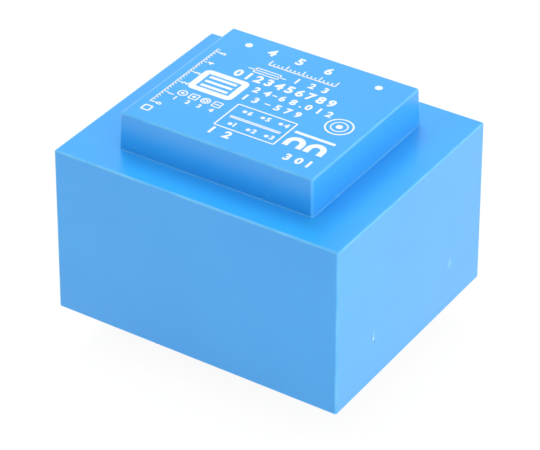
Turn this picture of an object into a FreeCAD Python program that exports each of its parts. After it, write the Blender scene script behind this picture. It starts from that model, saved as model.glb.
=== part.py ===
import FreeCAD, Part
import math
import os

import Sketcher

# Encapsulated transformer for a circuit board, in millimetres.
# The origin is the centre of the case's rim, which sits on the board. X runs along the longer side,
# -Y is the primary side and +Z points away from the board, so the solder pins lie below Z = 0.

doc = FreeCAD.newDocument("board_transformer")

# Driving dimensions
DIMENSIONS = {
    # laminations of the standard 48 mm size
    "core_length": 48.0,
    "core_depth": 40.0,
    "leg_width": 16.0,
    "window_width": 8.0,
    "window_length": 24.0,
    "sheet_thickness": 0.5,
    "sheet_film": 0.009,
    "stack_height": 16.8,
    "joint_gap": 0.05,
    # bobbin with two chambers
    "leg_clearance": 0.1,
    "tube_wall": 0.8,
    "tube_radius": 0.6,
    "flange_side_gap": 0.25,
    "flange_rise": 7.6,
    "flange_thickness": 0.9,
    "flange_radius": 1.2,
    "rail_margin": 1.75,
    "rail_side": 2.25,
    "rail_lift": 1.7,
    "rail_rib_width": 0.8,
    "lip_reach": 2.0,
    "lip_thickness": 1.4,
    "lip_rib_count": 4,
    "lip_rib_width": 1.2,
    "slot_height": 1.2,
    "slot_clearance": 0.3,
    # windings and their tape
    "primary_build": 5.4,
    "secondary_build": 5.0,
    "winding_radius": 4.0,
    "tape_thickness": 0.25,
    "tape_margin": 1.2,
    # solder pins
    "pin_diameter": 0.8,
    "pin_length": 7.0,
    "pin_point": 0.2,
    "pin_root_diameter": 0.95,
    "pin_seat": 3.2,
    "pin_setback": 1.75,
    "pin_pitch": 5.0,
    # lead-outs
    "primary_wire": 0.3,
    "secondary_wire": 0.6,
    "wrap_height": 1.3,
    "solder_film": 0.1,
    "lead_bury": 2.0,
    # case
    "core_gap": 0.35,
    "case_wall": 1.15,
    "case_draft": 0.5,
    "core_headroom": 1.5,
    "stop_gap": 0.1,
    "stop_length": 5.0,
    "stop_width": 1.6,
    "roof_thickness": 1.5,
    "corner_excess": 0.05,
    "inner_corner_radius": 0.4,
    "top_edge_radius": 0.3,
    "flange_gap": 0.3,
    "platform_wall": 1.2,
    "platform_draft": 2.0,
    "flange_headroom": 0.3,
    "platform_edge_radius": 0.42,
    "platform_root_radius": 0.2,
    # potting
    "resin_recess": 0.9,
    "resin_cover": 0.4,
}

sizes = doc.addObject("Spreadsheet::Sheet", "sizes")
for row, (name, number) in enumerate(DIMENSIONS.items(), start=1):
    sizes.set(f"A{row}", name)
    sizes.set(f"B{row}", str(number))
    sizes.setAlias(f"B{row}", name)
doc.recompute()

# Places and sizes that follow from the driving dimensions
PLACES = {
    "yoke": "(sizes.core_depth - sizes.window_length) / 2",
    "window_end": "sizes.window_length / 2",
    "sheet_pitch": "sizes.sheet_thickness + sizes.sheet_film",
    "sheet_count": "floor(sizes.stack_height / (sizes.sheet_thickness + sizes.sheet_film))",
    "flange_width": "sizes.leg_width + 2 * (sizes.window_width - sizes.flange_side_gap)",
    "flange_height": "sizes.stack_height + 2 * sizes.flange_rise",
    "bobbin_bottom": "sizes.resin_recess + sizes.resin_cover",
    "bobbin_top": "places.bobbin_bottom + places.flange_height",
    "coil_axis": "places.bobbin_bottom + places.flange_height / 2",
    "core_bottom": "places.coil_axis - sizes.stack_height / 2",
    "core_top": "places.coil_axis + sizes.stack_height / 2",
    "bore_width": "sizes.leg_width + 2 * sizes.leg_clearance",
    "bore_height": "sizes.stack_height + 2 * sizes.leg_clearance",
    "tube_width": "places.bore_width + 2 * sizes.tube_wall",
    "tube_height": "places.bore_height + 2 * sizes.tube_wall",
    "chamber_length": "(sizes.window_length - 3 * sizes.flange_thickness) / 2",
    "rail_bottom": "places.bobbin_bottom + sizes.rail_lift",
    "pin_row": "places.window_end + sizes.pin_setback",
    "outer_pin_x": "2.5 * sizes.pin_pitch",
    "inner_pin_x": "1.5 * sizes.pin_pitch",
    "rail_reach": "places.pin_row + sizes.rail_margin",
    "rail_half": "places.outer_pin_x + sizes.rail_side",
    "lip_length": "places.flange_width - 2 * sizes.flange_radius",
    "lip_rib_pitch": "(places.lip_length - sizes.lip_rib_width) / (sizes.lip_rib_count - 1)",
    "wire_level": "(sizes.resin_recess + places.rail_bottom) / 2",
    "cavity_length": "sizes.core_length + 2 * sizes.core_gap",
    "cavity_depth": "sizes.core_depth + 2 * sizes.core_gap",
    "case_length": "places.cavity_length + 2 * sizes.case_wall",
    "case_depth": "places.cavity_depth + 2 * sizes.case_wall",
    "case_ceiling": "places.core_top + sizes.core_headroom",
    "case_height": "places.case_ceiling + sizes.roof_thickness",
    "hollow_length": "places.flange_width + 2 * sizes.flange_gap",
    "hollow_depth": "sizes.window_length + 2 * sizes.lip_reach + 2 * sizes.flange_gap",
    "hollow_ceiling": "places.bobbin_top + sizes.flange_headroom",
    "platform_length": "places.hollow_length + 2 * sizes.platform_wall",
    "platform_depth": "places.hollow_depth + 2 * sizes.platform_wall",
    "total_height": "places.hollow_ceiling + sizes.roof_thickness",
    "corner_radius": "sizes.top_edge_radius + sizes.corner_excess",
    "platform_corner_radius": "sizes.platform_edge_radius + sizes.corner_excess",
}

# Edges that lie this close to a stated place are the ones meant
NEAR = 0.01

places = doc.addObject("App::VarSet", "places")
for name, text in PLACES.items():
    places.addProperty("App::PropertyFloat", name, "Derived")
    places.setExpression(name, text)
    doc.recompute()


def value(text):
    """The number that an expression gives now."""
    return float(places.evalExpression(text))


def add_body(label):
    """An empty body whose label is the name of its sub-part."""
    body = doc.addObject("PartDesign::Body", label)
    body.Label = label
    return body


def add_sketch(body, name, role, lift="0"):
    """A sketch on one of the body's own origin planes, moved along the plane's normal by lift."""
    plane = next(f for f in body.Origin.OriginFeatures if f.Role == role)
    sketch = body.newObject("Sketcher::SketchObject", name)
    sketch.AttachmentSupport = [(plane, "")]
    sketch.MapMode = "FlatFace"
    sketch.setExpression("AttachmentOffset.Base.z", lift)
    doc.recompute()
    return sketch


def bind(sketch, constraint, text):
    """Adds a dimension to the sketch and ties it to an expression."""
    index = sketch.addConstraint(constraint)
    sketch.setExpression(f"Constraints[{index}]", text)


def outline(sketch, corners):
    """A closed outline of straight lines through corners given as pairs of expressions."""
    first = sketch.GeometryCount
    count = len(corners)
    points = [
        FreeCAD.Vector(value(x), value(y), 0)
        for x, y in corners
    ]
    for i, point in enumerate(points):
        sketch.addGeometry(Part.LineSegment(point, points[(i + 1) % count]), False)
    for i in range(count):
        sketch.addConstraint(Sketcher.Constraint("Coincident", first + i, 2, first + (i + 1) % count, 1))
    for i, ((x, y), point) in enumerate(zip(corners, points)):
        bind(sketch, Sketcher.Constraint("DistanceX", first + i, 1, point.x), x)
        bind(sketch, Sketcher.Constraint("DistanceY", first + i, 1, point.y), y)


def rectangle(sketch, left, right, low, high):
    """A rectangle between four expressions."""
    outline(sketch, [(left, low), (right, low), (right, high), (left, high)])


def upright_rectangle(sketch, middle, width, low, high):
    """A rectangle of the given width about a middle line, between two heights."""
    rectangle(sketch, f"{middle} - ({width}) / 2", f"{middle} + ({width}) / 2", low, high)


def centred_rectangle(sketch, width, height, level="0"):
    """A rectangle about the sketch's vertical axis, its middle at the given level."""
    upright_rectangle(sketch, "0", width, f"{level} - ({height}) / 2", f"{level} + ({height}) / 2")


def rounded_rectangle(sketch, width, height, radius, level):
    """A rectangle like centred_rectangle's whose four corners are arcs of the given radius."""
    r = value(radius)
    x = value(width) / 2 - r
    y = value(height) / 2 - r
    middle = value(level)
    first = sketch.GeometryCount
    # the four corners' centres from the lower right one on, each with the line that runs into its arc
    for turn, (cx, cy) in enumerate(((x, -y), (x, y), (-x, y), (-x, -y))):
        angle = (turn - 1) * math.pi / 2
        centre = FreeCAD.Vector(cx, middle + cy, 0)
        outward = FreeCAD.Vector(math.cos(angle), math.sin(angle), 0) * r
        along = (2 * y if turn % 2 else 2 * x) * FreeCAD.Vector(-math.sin(angle), math.cos(angle), 0)
        line_end = centre + outward
        sketch.addGeometry(Part.LineSegment(line_end - along, line_end), False)
        full = Part.Circle(centre, FreeCAD.Vector(0, 0, 1), r)
        sketch.addGeometry(Part.ArcOfCircle(full, angle, angle + math.pi / 2), False)
    for i in range(8):
        sketch.addConstraint(Sketcher.Constraint("Tangent", first + i, 2, first + (i + 1) % 8, 1))
    for i in range(4):
        kind = "Vertical" if i % 2 else "Horizontal"
        sketch.addConstraint(Sketcher.Constraint(kind, first + 2 * i))
    bind(sketch, Sketcher.Constraint("Radius", first + 1, r), radius)
    for i in (3, 5, 7):
        sketch.addConstraint(Sketcher.Constraint("Equal", first + 1, first + i))
    for arc, sign, cx, cy in ((first + 1, "", x, -y), (first + 5, "-", -x, y)):
        bind(sketch, Sketcher.Constraint("DistanceX", arc, 3, cx), f"{sign}(({width}) / 2 - {radius})")
        text = f"{level} - {sign}(({height}) / 2 - {radius})"
        bind(sketch, Sketcher.Constraint("DistanceY", arc, 3, middle + cy), text)


def circle(sketch, x, y, diameter):
    """A full circle placed by expressions."""
    centre = FreeCAD.Vector(value(x), value(y), 0)
    radius = value(diameter) / 2
    index = sketch.addGeometry(Part.Circle(centre, FreeCAD.Vector(0, 0, 1), radius), False)
    bind(sketch, Sketcher.Constraint("DistanceX", index, 3, centre.x), x)
    bind(sketch, Sketcher.Constraint("DistanceY", index, 3, centre.y), y)
    bind(sketch, Sketcher.Constraint("Diameter", index, 2 * radius), diameter)


def pad(body, sketch, name, length, draft=None, against_normal=False):
    """Raises the sketch by length. A draft leans the sides inwards by that many degrees."""
    feature = body.newObject("PartDesign::Pad", name)
    feature.Profile = sketch
    feature.Reversed = against_normal
    feature.setExpression("Length", length)
    if draft:
        feature.setExpression("TaperAngle", f"-{draft}")
    sketch.Visibility = False
    doc.recompute()
    return feature


def pocket(body, sketch, name, length, draft=None, along_normal=True):
    """Cuts the sketch away over length, and stops if nothing was cut."""
    before = body.Shape.Volume
    feature = body.newObject("PartDesign::Pocket", name)
    feature.Profile = sketch
    feature.Reversed = along_normal
    feature.setExpression("Length", length)
    if draft:
        feature.setExpression("TaperAngle", f"-{draft}")
    sketch.Visibility = False
    doc.recompute()
    if not feature.Shape.Volume < before:
        raise RuntimeError(f"{name} cuts nothing")
    return feature


def round_edges(body, name, radius, wanted):
    """Rounds the edges of the body's last feature for which wanted(edge) holds."""
    base = body.Tip
    names = [f"Edge{i}" for i, edge in enumerate(base.Shape.Edges, start=1) if wanted(edge)]
    if not names:
        raise RuntimeError(f"{name} finds no edge")
    feature = body.newObject("PartDesign::Fillet", name)
    feature.Base = (base, names)
    feature.setExpression("Radius", radius)
    doc.recompute()
    return feature


def spans(edge, axis, low, high):
    """Whether the edge runs along an axis (0, 1, 2) all the way from low to high."""
    box = edge.BoundBox
    ends = ((box.XMin, box.XMax), (box.YMin, box.YMax), (box.ZMin, box.ZMax))[axis]
    return abs(ends[0] - low) < NEAR and abs(ends[1] - high) < NEAR


def level_with(edge, height):
    """Whether the edge lies flat at the given height."""
    return abs(edge.BoundBox.ZMin - height) < NEAR and abs(edge.BoundBox.ZMax - height) < NEAR


def outside(edge, x_limit, y_limit):
    """Whether the edge keeps further out than either limit."""
    middle = edge.BoundBox.Center
    return abs(middle.x) > x_limit or abs(middle.y) > y_limit


# Case: one moulding, open at the board side, with a hollow platform over the coil and four core stops
def build_case():
    body = add_body("case")
    height = places.case_height
    top = places.total_height
    inner_x = places.cavity_length / 2
    inner_y = places.cavity_depth / 2

    walls = add_sketch(body, "CaseOutline", "XY_Plane")
    centred_rectangle(walls, "places.case_length", "places.case_depth")
    pad(body, walls, "CaseBlock", "places.case_height", draft="sizes.case_draft")
    round_edges(body, "CaseCorners", "places.corner_radius", lambda e: spans(e, 2, 0, height))

    raised = add_sketch(body, "PlatformOutline", "XY_Plane", "places.case_height")
    centred_rectangle(raised, "places.platform_length", "places.platform_depth")
    rise = "places.total_height - places.case_height"
    pad(body, raised, "PlatformBlock", rise, draft="sizes.platform_draft")
    round_edges(
        body, "PlatformCorners", "places.platform_corner_radius", lambda e: spans(e, 2, height, top)
    )
    round_edges(body, "PlatformTopEdge", "sizes.platform_edge_radius", lambda e: level_with(e, top))
    edge_x = places.platform_length / 2 + sizes.platform_wall
    edge_y = places.platform_depth / 2 + sizes.platform_wall
    round_edges(
        body,
        "CaseTopEdge",
        "sizes.top_edge_radius",
        lambda e: level_with(e, height) and outside(e, edge_x, edge_y),
    )
    round_edges(
        body,
        "PlatformRoot",
        "sizes.platform_root_radius",
        lambda e: level_with(e, height) and not outside(e, edge_x, edge_y),
    )

    hollow = add_sketch(body, "CavityOutline", "XY_Plane")
    centred_rectangle(hollow, "places.cavity_length", "places.cavity_depth")
    pocket(body, hollow, "Cavity", "places.case_ceiling", draft="sizes.case_draft")
    round_edges(
        body,
        "CavityCorners",
        "sizes.inner_corner_radius",
        lambda e: spans(e, 2, 0, places.case_ceiling) and not outside(e, inner_x, inner_y),
    )

    upper = add_sketch(body, "UpperCavityOutline", "XY_Plane", "places.case_ceiling")
    centred_rectangle(upper, "places.hollow_length", "places.hollow_depth")
    climb = "places.hollow_ceiling - places.case_ceiling"
    pocket(body, upper, "UpperCavity", climb, draft="sizes.platform_draft")

    # a stop in each corner of the ceiling keeps the core at its height while the resin sets
    stops = add_sketch(body, "CoreStopOutline", "XY_Plane", "places.case_ceiling")
    near_x = "(sizes.core_length / 2 - sizes.stop_length)"
    far_x = "(places.cavity_length + sizes.case_wall) / 2"
    near_y = "(sizes.core_depth / 2 - sizes.stop_width)"
    far_y = "(places.cavity_depth + sizes.case_wall) / 2"
    for x_side in ("-", ""):
        for y_side in ("-", ""):
            rectangle(stops, x_side + near_x, x_side + far_x, y_side + near_y, y_side + far_y)
    pad(body, stops, "CoreStops", "sizes.core_headroom - sizes.stop_gap", against_normal=True)
    return body


def tube_outline(sketch):
    """The outside of the bobbin's tube, which the windings fit."""
    rounded_rectangle(
        sketch, "places.tube_width", "places.tube_height", "sizes.tube_radius", "places.coil_axis"
    )


# Bobbin: tube round the core's middle leg, three flanges, two ribbed pin rails, two ribbed lips
def build_bobbin():
    body = add_body("bobbin")
    end = "places.window_end"

    tube = add_sketch(body, "TubeSection", "XZ_Plane", end)
    tube_outline(tube)
    centred_rectangle(tube, "places.bore_width", "places.bore_height", "places.coil_axis")
    pad(body, tube, "Tube", "sizes.window_length", against_normal=True)

    disc = add_sketch(body, "FlangeOutline", "XZ_Plane", end)
    rounded_rectangle(
        disc, "places.flange_width", "places.flange_height", "sizes.flange_radius", "places.coil_axis"
    )
    centred_rectangle(disc, "places.bore_width", "places.bore_height", "places.coil_axis")
    flange = pad(body, disc, "Flange", "sizes.flange_thickness", against_normal=True)
    row = body.newObject("PartDesign::LinearPattern", "Flanges")
    row.Originals = [flange]
    row.Direction = (next(f for f in body.Origin.OriginFeatures if f.Role == "Y_Axis"), [""])
    row.setExpression("Length", "sizes.window_length - sizes.flange_thickness")
    row.Occurrences = 3
    body.Tip = row
    doc.recompute()

    rail = add_sketch(body, "RailOutline", "XY_Plane", "places.rail_bottom")
    upright_rectangle(rail, "0", "2 * places.rail_half", "-places.rail_reach", f"-{end}")
    front_rail = pad(body, rail, "Rail", "places.core_bottom - places.rail_bottom")

    # ribs under the rail keep the bare wire ends of neighbouring pins apart
    barriers = add_sketch(body, "RailRibOutline", "XY_Plane", "places.rail_bottom")
    for step in range(-2, 3):
        middle = f"{step} * sizes.pin_pitch"
        upright_rectangle(
            barriers, middle, "sizes.rail_rib_width", "-places.rail_reach", f"-{end}"
        )
    front_barriers = pad(body, barriers, "RailRibs", "sizes.rail_lift", against_normal=True)

    lip = add_sketch(body, "LipSection", "YZ_Plane", "-places.lip_length / 2")
    rectangle(
        lip,
        f"-{end} - sizes.lip_reach",
        f"-{end}",
        "places.bobbin_top - sizes.lip_thickness",
        "places.bobbin_top",
    )
    front_lip = pad(body, lip, "Lip", "places.lip_length")

    ribs = add_sketch(body, "LipRibOutline", "XY_Plane", "places.core_top")
    for step in range(round(sizes.lip_rib_count)):
        middle = f"({step} - (sizes.lip_rib_count - 1) / 2) * places.lip_rib_pitch"
        upright_rectangle(
            ribs, middle, "sizes.lip_rib_width", f"-{end} - sizes.lip_reach", f"-{end}"
        )
    rib_height = "places.bobbin_top - sizes.lip_thickness - places.core_top"
    front_ribs = pad(body, ribs, "LipRibs", rib_height)

    rear = body.newObject("PartDesign::Mirrored", "RearRailAndLip")
    rear.Originals = [front_rail, front_barriers, front_lip, front_ribs]
    rear.MirrorPlane = (next(f for f in body.Origin.OriginFeatures if f.Role == "XZ_Plane"), [""])
    body.Tip = rear
    doc.recompute()

    # each wire leaves its chamber through a slot in the outer flange
    for name, column, wire, lift, inwards in (
        ("PrimarySlots", "places.outer_pin_x", "sizes.primary_wire", end, True),
        ("SecondarySlots", "places.inner_pin_x", "sizes.secondary_wire", f"-{end}", False),
    ):
        slots = add_sketch(body, name + "Outline", "XZ_Plane", lift)
        for side in ("-", ""):
            upright_rectangle(
                slots,
                side + column,
                f"{wire} + 2 * sizes.slot_clearance",
                "places.bobbin_bottom",
                "places.bobbin_bottom + sizes.slot_height",
            )
        pocket(body, slots, name, "sizes.flange_thickness", along_normal=not inwards)

    # the pins are pressed into blind holes in the rails
    holes = add_sketch(body, "PinHoleOutline", "XY_Plane", "places.rail_bottom")
    for side, row_side, column in PIN_PLACES.values():
        circle(holes, f"{side} * {column}", f"{row_side} * places.pin_row", "sizes.pin_root_diameter")
    pocket(body, holes, "PinHoles", "sizes.pin_seat")
    return body


# Pin name: side along X, side along Y and the distance from the middle
PIN_PLACES = {
    "primary_pin_left": (-1, -1, "places.outer_pin_x"),
    "primary_pin_right": (1, -1, "places.outer_pin_x"),
    "secondary_pin_left": (-1, 1, "places.inner_pin_x"),
    "secondary_pin_right": (1, 1, "places.inner_pin_x"),
    "holding_pin_left": (-1, 1, "places.outer_pin_x"),
    "holding_pin_right": (1, 1, "places.outer_pin_x"),
}


# Pins: round tinned wire, thicker above the resin's surface and pressed into the rail
def build_pin(name, side, row_side, column):
    body = add_body(name)
    section = add_sketch(body, name + "_section", "XZ_Plane")
    outline(
        section,
        [
            ("0", "-sizes.pin_length"),
            ("sizes.pin_diameter / 2 - sizes.pin_point", "-sizes.pin_length"),
            ("sizes.pin_diameter / 2", "-sizes.pin_length + 2 * sizes.pin_point"),
            ("sizes.pin_diameter / 2", "sizes.resin_recess"),
            ("sizes.pin_root_diameter / 2", "sizes.resin_recess"),
            ("sizes.pin_root_diameter / 2", "places.rail_bottom + sizes.pin_seat"),
            ("0", "places.rail_bottom + sizes.pin_seat"),
        ],
    )
    turn = body.newObject("PartDesign::Revolution", name + "_turned")
    turn.Profile = section
    turn.ReferenceAxis = (section, ["V_Axis"])
    turn.Angle = 360
    section.Visibility = False
    body.setExpression("Placement.Base.x", f"{side} * {column}")
    body.setExpression("Placement.Base.y", f"{row_side} * places.pin_row")
    doc.recompute()
    return body


# Windings and tapes: rings round the tube, with the corners that wound wire takes
def build_winding(name, build, start):
    body = add_body(name)
    section = add_sketch(body, name + "_section", "XZ_Plane", start)
    width = f"places.tube_width + 2 * {build}"
    height = f"places.tube_height + 2 * {build}"
    rounded_rectangle(section, width, height, "sizes.winding_radius", "places.coil_axis")
    tube_outline(section)
    pad(body, section, name + "_turns", "places.chamber_length", against_normal=True)
    return body


def build_tape(name, build, start):
    body = add_body(name)
    section = add_sketch(body, name + "_section", "XZ_Plane", start)
    for grown in ("0", "sizes.tape_thickness"):
        width = f"places.tube_width + 2 * {build} + 2 * {grown}"
        height = f"places.tube_height + 2 * {build} + 2 * {grown}"
        radius = f"(sizes.winding_radius + {grown})"
        rounded_rectangle(section, width, height, radius, "places.coil_axis")
    length = "places.chamber_length - sizes.tape_margin"
    pad(body, section, name + "_wrap", length, against_normal=True)
    return body


# Core: E and I sheets of silicon steel, turned end for end in every other layer
def build_sheets(name, corners, first_layer, rounding):
    body = add_body(name)
    body.AllowCompound = True
    level = f"places.core_bottom + {first_layer} * places.sheet_pitch"
    section = add_sketch(body, name + "_outline", "XY_Plane", level)
    outline(section, corners)
    sheet = pad(body, section, name + "_sheet", "sizes.sheet_thickness")
    count = f"{rounding}(places.sheet_count / 2)"
    stack = body.newObject("PartDesign::LinearPattern", name + "_stack")
    stack.Originals = [sheet]
    stack.Direction = (next(f for f in body.Origin.OriginFeatures if f.Role == "Z_Axis"), [""])
    stack.setExpression("Length", f"({count} - 1) * 2 * places.sheet_pitch")
    stack.setExpression("Occurrences", count)
    body.Tip = stack
    doc.recompute()
    return body


def e_corners(end):
    """The E outline. end is -1 with its back at the front and 1 with its back at the rear."""
    half = "sizes.core_length / 2"
    back = f"{end} * sizes.core_depth / 2"
    root = f"{end} * places.window_end"
    tip = f"-({end}) * (places.window_end - sizes.joint_gap)"
    leg = "sizes.leg_width / 2"
    side = "sizes.leg_width / 2 + sizes.window_width"
    right = [(half, back), (half, tip), (side, tip), (side, root), (leg, root), (leg, tip)]
    left = [(f"-({x})", y) for x, y in reversed(right)]
    return right + left


def i_corners(end):
    """The I outline, a bar at the front (-1) or at the rear (1)."""
    half = "sizes.core_length / 2"
    near = f"{end} * places.window_end"
    far = f"{end} * sizes.core_depth / 2"
    return [(f"-{half}", near), (half, near), (half, far), (f"-{half}", far)]


# Lead-outs: the wire's end, from the winding through the flange's slot to a soldered wrap on the pin
def build_lead(name, pin_name, wire, build, winding):
    side, row_side, column = PIN_PLACES[pin_name]
    wrap = f"({wire} + sizes.solder_film)"
    start = f"((sizes.pin_root_diameter + {wrap}) / 2)"
    chamber = "places.window_end - sizes.flange_thickness - sizes.tape_margin / 2"
    rise = f"(places.pin_row - ({chamber}))"
    top = f"(places.coil_axis - places.tube_height / 2 - {build} + sizes.lead_bury)"
    body = add_body(name + "_uncut")

    turns = add_sketch(
        body, name + "_wrap_outline", "XY_Plane", "places.wire_level - sizes.wrap_height / 2"
    )
    circle(turns, "0", "0", f"sizes.pin_root_diameter + 2 * {wrap}")
    circle(turns, "0", "0", "sizes.pin_root_diameter")
    pad(body, turns, name + "_wrap", "sizes.wrap_height")

    route = add_sketch(body, name + "_route", "YZ_Plane")
    corners = [(start, "places.wire_level"), (rise, "places.wire_level"), (rise, top)]
    points = [FreeCAD.Vector(value(y), value(z), 0) for y, z in corners]
    for i in range(2):
        route.addGeometry(Part.LineSegment(points[i], points[i + 1]), False)
    route.addConstraint(Sketcher.Constraint("Coincident", 0, 2, 1, 1))
    route.addConstraint(Sketcher.Constraint("Horizontal", 0))
    route.addConstraint(Sketcher.Constraint("Vertical", 1))
    bind(route, Sketcher.Constraint("DistanceX", 0, 1, points[0].x), start)
    bind(route, Sketcher.Constraint("DistanceY", 0, 1, points[0].y), "places.wire_level")
    bind(route, Sketcher.Constraint("DistanceX", 1, 1, points[1].x), rise)
    bind(route, Sketcher.Constraint("DistanceY", 1, 2, points[2].y), top)

    section = add_sketch(body, name + "_wire_section", "XZ_Plane", f"-{start}")
    circle(section, "0", "places.wire_level", wire)
    strand = body.newObject("PartDesign::AdditivePipe", name + "_wire")
    strand.Profile = section
    strand.Spine = (route, ["Edge1", "Edge2"])
    strand.Transition = "Right corner"
    for sketch in (route, section):
        sketch.Visibility = False
    body.setExpression("Placement.Base.x", f"{side} * {column}")
    body.setExpression("Placement.Base.y", f"{row_side} * places.pin_row")
    if row_side > 0:
        body.Placement.Rotation = FreeCAD.Rotation(FreeCAD.Vector(0, 0, 1), 180)
    doc.recompute()

    lead = doc.addObject("Part::Cut", name)
    lead.Label = name
    lead.Base = body
    lead.Tool = winding
    doc.recompute()
    return lead


def add_block(name, left, right, front, back, low, high):
    """A box between six expressions."""
    block = doc.addObject("Part::Box", name)
    block.setExpression("Length", f"({right}) - ({left})")
    block.setExpression("Width", f"({back}) - ({front})")
    block.setExpression("Height", f"({high}) - ({low})")
    block.setExpression("Placement.Base.x", left)
    block.setExpression("Placement.Base.y", front)
    block.setExpression("Placement.Base.z", low)
    return block


def add_centred_block(name, length, depth, low, high):
    """A box about the Z axis between two heights."""
    x = f"({length}) / 2"
    y = f"({depth}) / 2"
    return add_block(name, f"-{x}", x, f"-{y}", y, low, high)


# Potting: the resin that fills what the case holds and the coil and core leave free.
# It starts as blocks that reach to the middle of the walls, from which the case is then cut.
def build_potting(case, inner_pieces):
    lower = add_centred_block(
        "lower_fill",
        "places.cavity_length + sizes.case_wall",
        "places.cavity_depth + sizes.case_wall",
        "sizes.resin_recess",
        "places.case_ceiling + sizes.roof_thickness / 2",
    )
    upper = add_centred_block(
        "upper_fill",
        "places.hollow_length + sizes.platform_wall",
        "places.hollow_depth + sizes.platform_wall",
        "places.case_ceiling",
        "places.hollow_ceiling + sizes.roof_thickness / 2",
    )
    fill = doc.addObject("Part::MultiFuse", "fill")
    fill.Shapes = [lower, upper]
    content = doc.addObject("Part::Cut", "case_content")
    content.Base = fill
    content.Tool = case

    low = "places.core_bottom"
    high = "places.core_top"
    half = "sizes.core_length / 2"
    edge = "sizes.core_depth / 2"
    end = "places.window_end"
    side = "(sizes.leg_width / 2 + sizes.window_width)"
    bore = "places.bore_height / 2"
    core = [
        add_block("front_yoke", f"-{half}", half, f"-{edge}", f"-{end}", low, high),
        add_block("rear_yoke", f"-{half}", half, end, edge, low, high),
        add_block("left_leg", f"-{half}", f"-{side}", f"-{end}", end, low, high),
        add_block("right_leg", side, half, f"-{end}", end, low, high),
        add_block(
            "bobbin_bore",
            "-places.bore_width / 2",
            "places.bore_width / 2",
            f"-{end}",
            end,
            f"places.coil_axis - {bore}",
            f"places.coil_axis + {bore}",
        ),
    ]
    held = doc.addObject("Part::MultiFuse", "held_in_resin")
    held.Shapes = core + inner_pieces
    potting = doc.addObject("Part::Cut", "potting_resin")
    potting.Label = "potting_resin"
    potting.Base = content
    potting.Tool = held
    doc.recompute()
    return potting


case = build_case()
bobbin = build_bobbin()
pins = [build_pin(name, *place) for name, place in PIN_PLACES.items()]

front_chamber = "places.window_end - sizes.flange_thickness"
rear_chamber = "-sizes.flange_thickness / 2"
primary = build_winding("primary_winding", "sizes.primary_build", front_chamber)
secondary = build_winding("secondary_winding", "sizes.secondary_build", rear_chamber)
front_tape = build_tape(
    "primary_tape", "sizes.primary_build", f"{front_chamber} - sizes.tape_margin"
)
rear_tape = build_tape("secondary_tape", "sizes.secondary_build", rear_chamber)

sheets = [
    build_sheets("e_sheets_back_front", e_corners(-1), 0, "ceil"),
    build_sheets("i_sheets_rear", i_corners(1), 0, "ceil"),
    build_sheets("e_sheets_back_rear", e_corners(1), 1, "floor"),
    build_sheets("i_sheets_front", i_corners(-1), 1, "floor"),
]

leads = []
for lead_name, pin_name in (
    ("primary_lead_left", "primary_pin_left"),
    ("primary_lead_right", "primary_pin_right"),
):
    leads.append(build_lead(lead_name, pin_name, "sizes.primary_wire", "sizes.primary_build", primary))
for lead_name, pin_name in (
    ("secondary_lead_left", "secondary_pin_left"),
    ("secondary_lead_right", "secondary_pin_right"),
):
    leads.append(
        build_lead(lead_name, pin_name, "sizes.secondary_wire", "sizes.secondary_build", secondary)
    )

wound = [bobbin, primary, secondary, front_tape, rear_tape]
potting = build_potting(case, wound + pins + leads)

# Every feature must have built, and every sub-part must be sound, before anything is written
doc.recompute()
failed = [o.Name for o in doc.Objects if "Invalid" in o.State or "Error" in o.State]
if failed:
    raise RuntimeError(f"failed: {failed}")

sub_parts = [case, potting] + wound + sheets + pins + leads
for part in sub_parts:
    if part.Shape.isNull() or not part.Shape.isValid():
        raise RuntimeError(f"{part.Label} is not a sound shape")

os.makedirs("parts", exist_ok=True)
for part in sub_parts:
    part.Shape.exportStep(f"parts/{part.Label}.step")
    solids = len(part.Shape.Solids)
    print(f"{part.Label}: {solids} solids, {part.Shape.Volume:.1f} mm3")
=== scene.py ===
import math

import bpy
import numpy as np
from mathutils import Matrix, Vector


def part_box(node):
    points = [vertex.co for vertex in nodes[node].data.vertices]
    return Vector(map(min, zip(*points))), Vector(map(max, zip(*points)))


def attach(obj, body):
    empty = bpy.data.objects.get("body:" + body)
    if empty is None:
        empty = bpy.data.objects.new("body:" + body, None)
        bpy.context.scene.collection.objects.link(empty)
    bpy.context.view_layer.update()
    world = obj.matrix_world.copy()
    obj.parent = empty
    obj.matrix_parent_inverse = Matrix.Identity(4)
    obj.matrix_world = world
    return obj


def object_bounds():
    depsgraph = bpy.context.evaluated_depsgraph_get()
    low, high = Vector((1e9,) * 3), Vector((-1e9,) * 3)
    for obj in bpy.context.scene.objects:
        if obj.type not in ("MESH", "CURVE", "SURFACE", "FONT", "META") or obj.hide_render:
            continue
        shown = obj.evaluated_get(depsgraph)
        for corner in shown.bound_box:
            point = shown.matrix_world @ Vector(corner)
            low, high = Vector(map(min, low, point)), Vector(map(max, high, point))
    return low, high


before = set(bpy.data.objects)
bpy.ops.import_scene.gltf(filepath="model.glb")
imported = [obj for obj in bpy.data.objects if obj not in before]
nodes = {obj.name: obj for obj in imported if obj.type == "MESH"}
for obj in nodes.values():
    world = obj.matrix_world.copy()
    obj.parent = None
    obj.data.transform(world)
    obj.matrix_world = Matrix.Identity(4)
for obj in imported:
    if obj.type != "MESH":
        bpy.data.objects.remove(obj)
cad_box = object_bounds()
MM = 0.001

# The camera stands in front and to the right and looks down on the potted block, from about eight block
# lengths away through a long lens, so that the upright edges are almost parallel.
scene = bpy.context.scene
scene.view_settings.view_transform = "Standard"
PICTURE_WIDTH = 540
FOCAL_PIXELS = 2654.0
SENSOR = 36.0
azimuth = math.radians(32.966)
elevation = math.radians(33.970)
roll = math.radians(-0.094)
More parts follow.
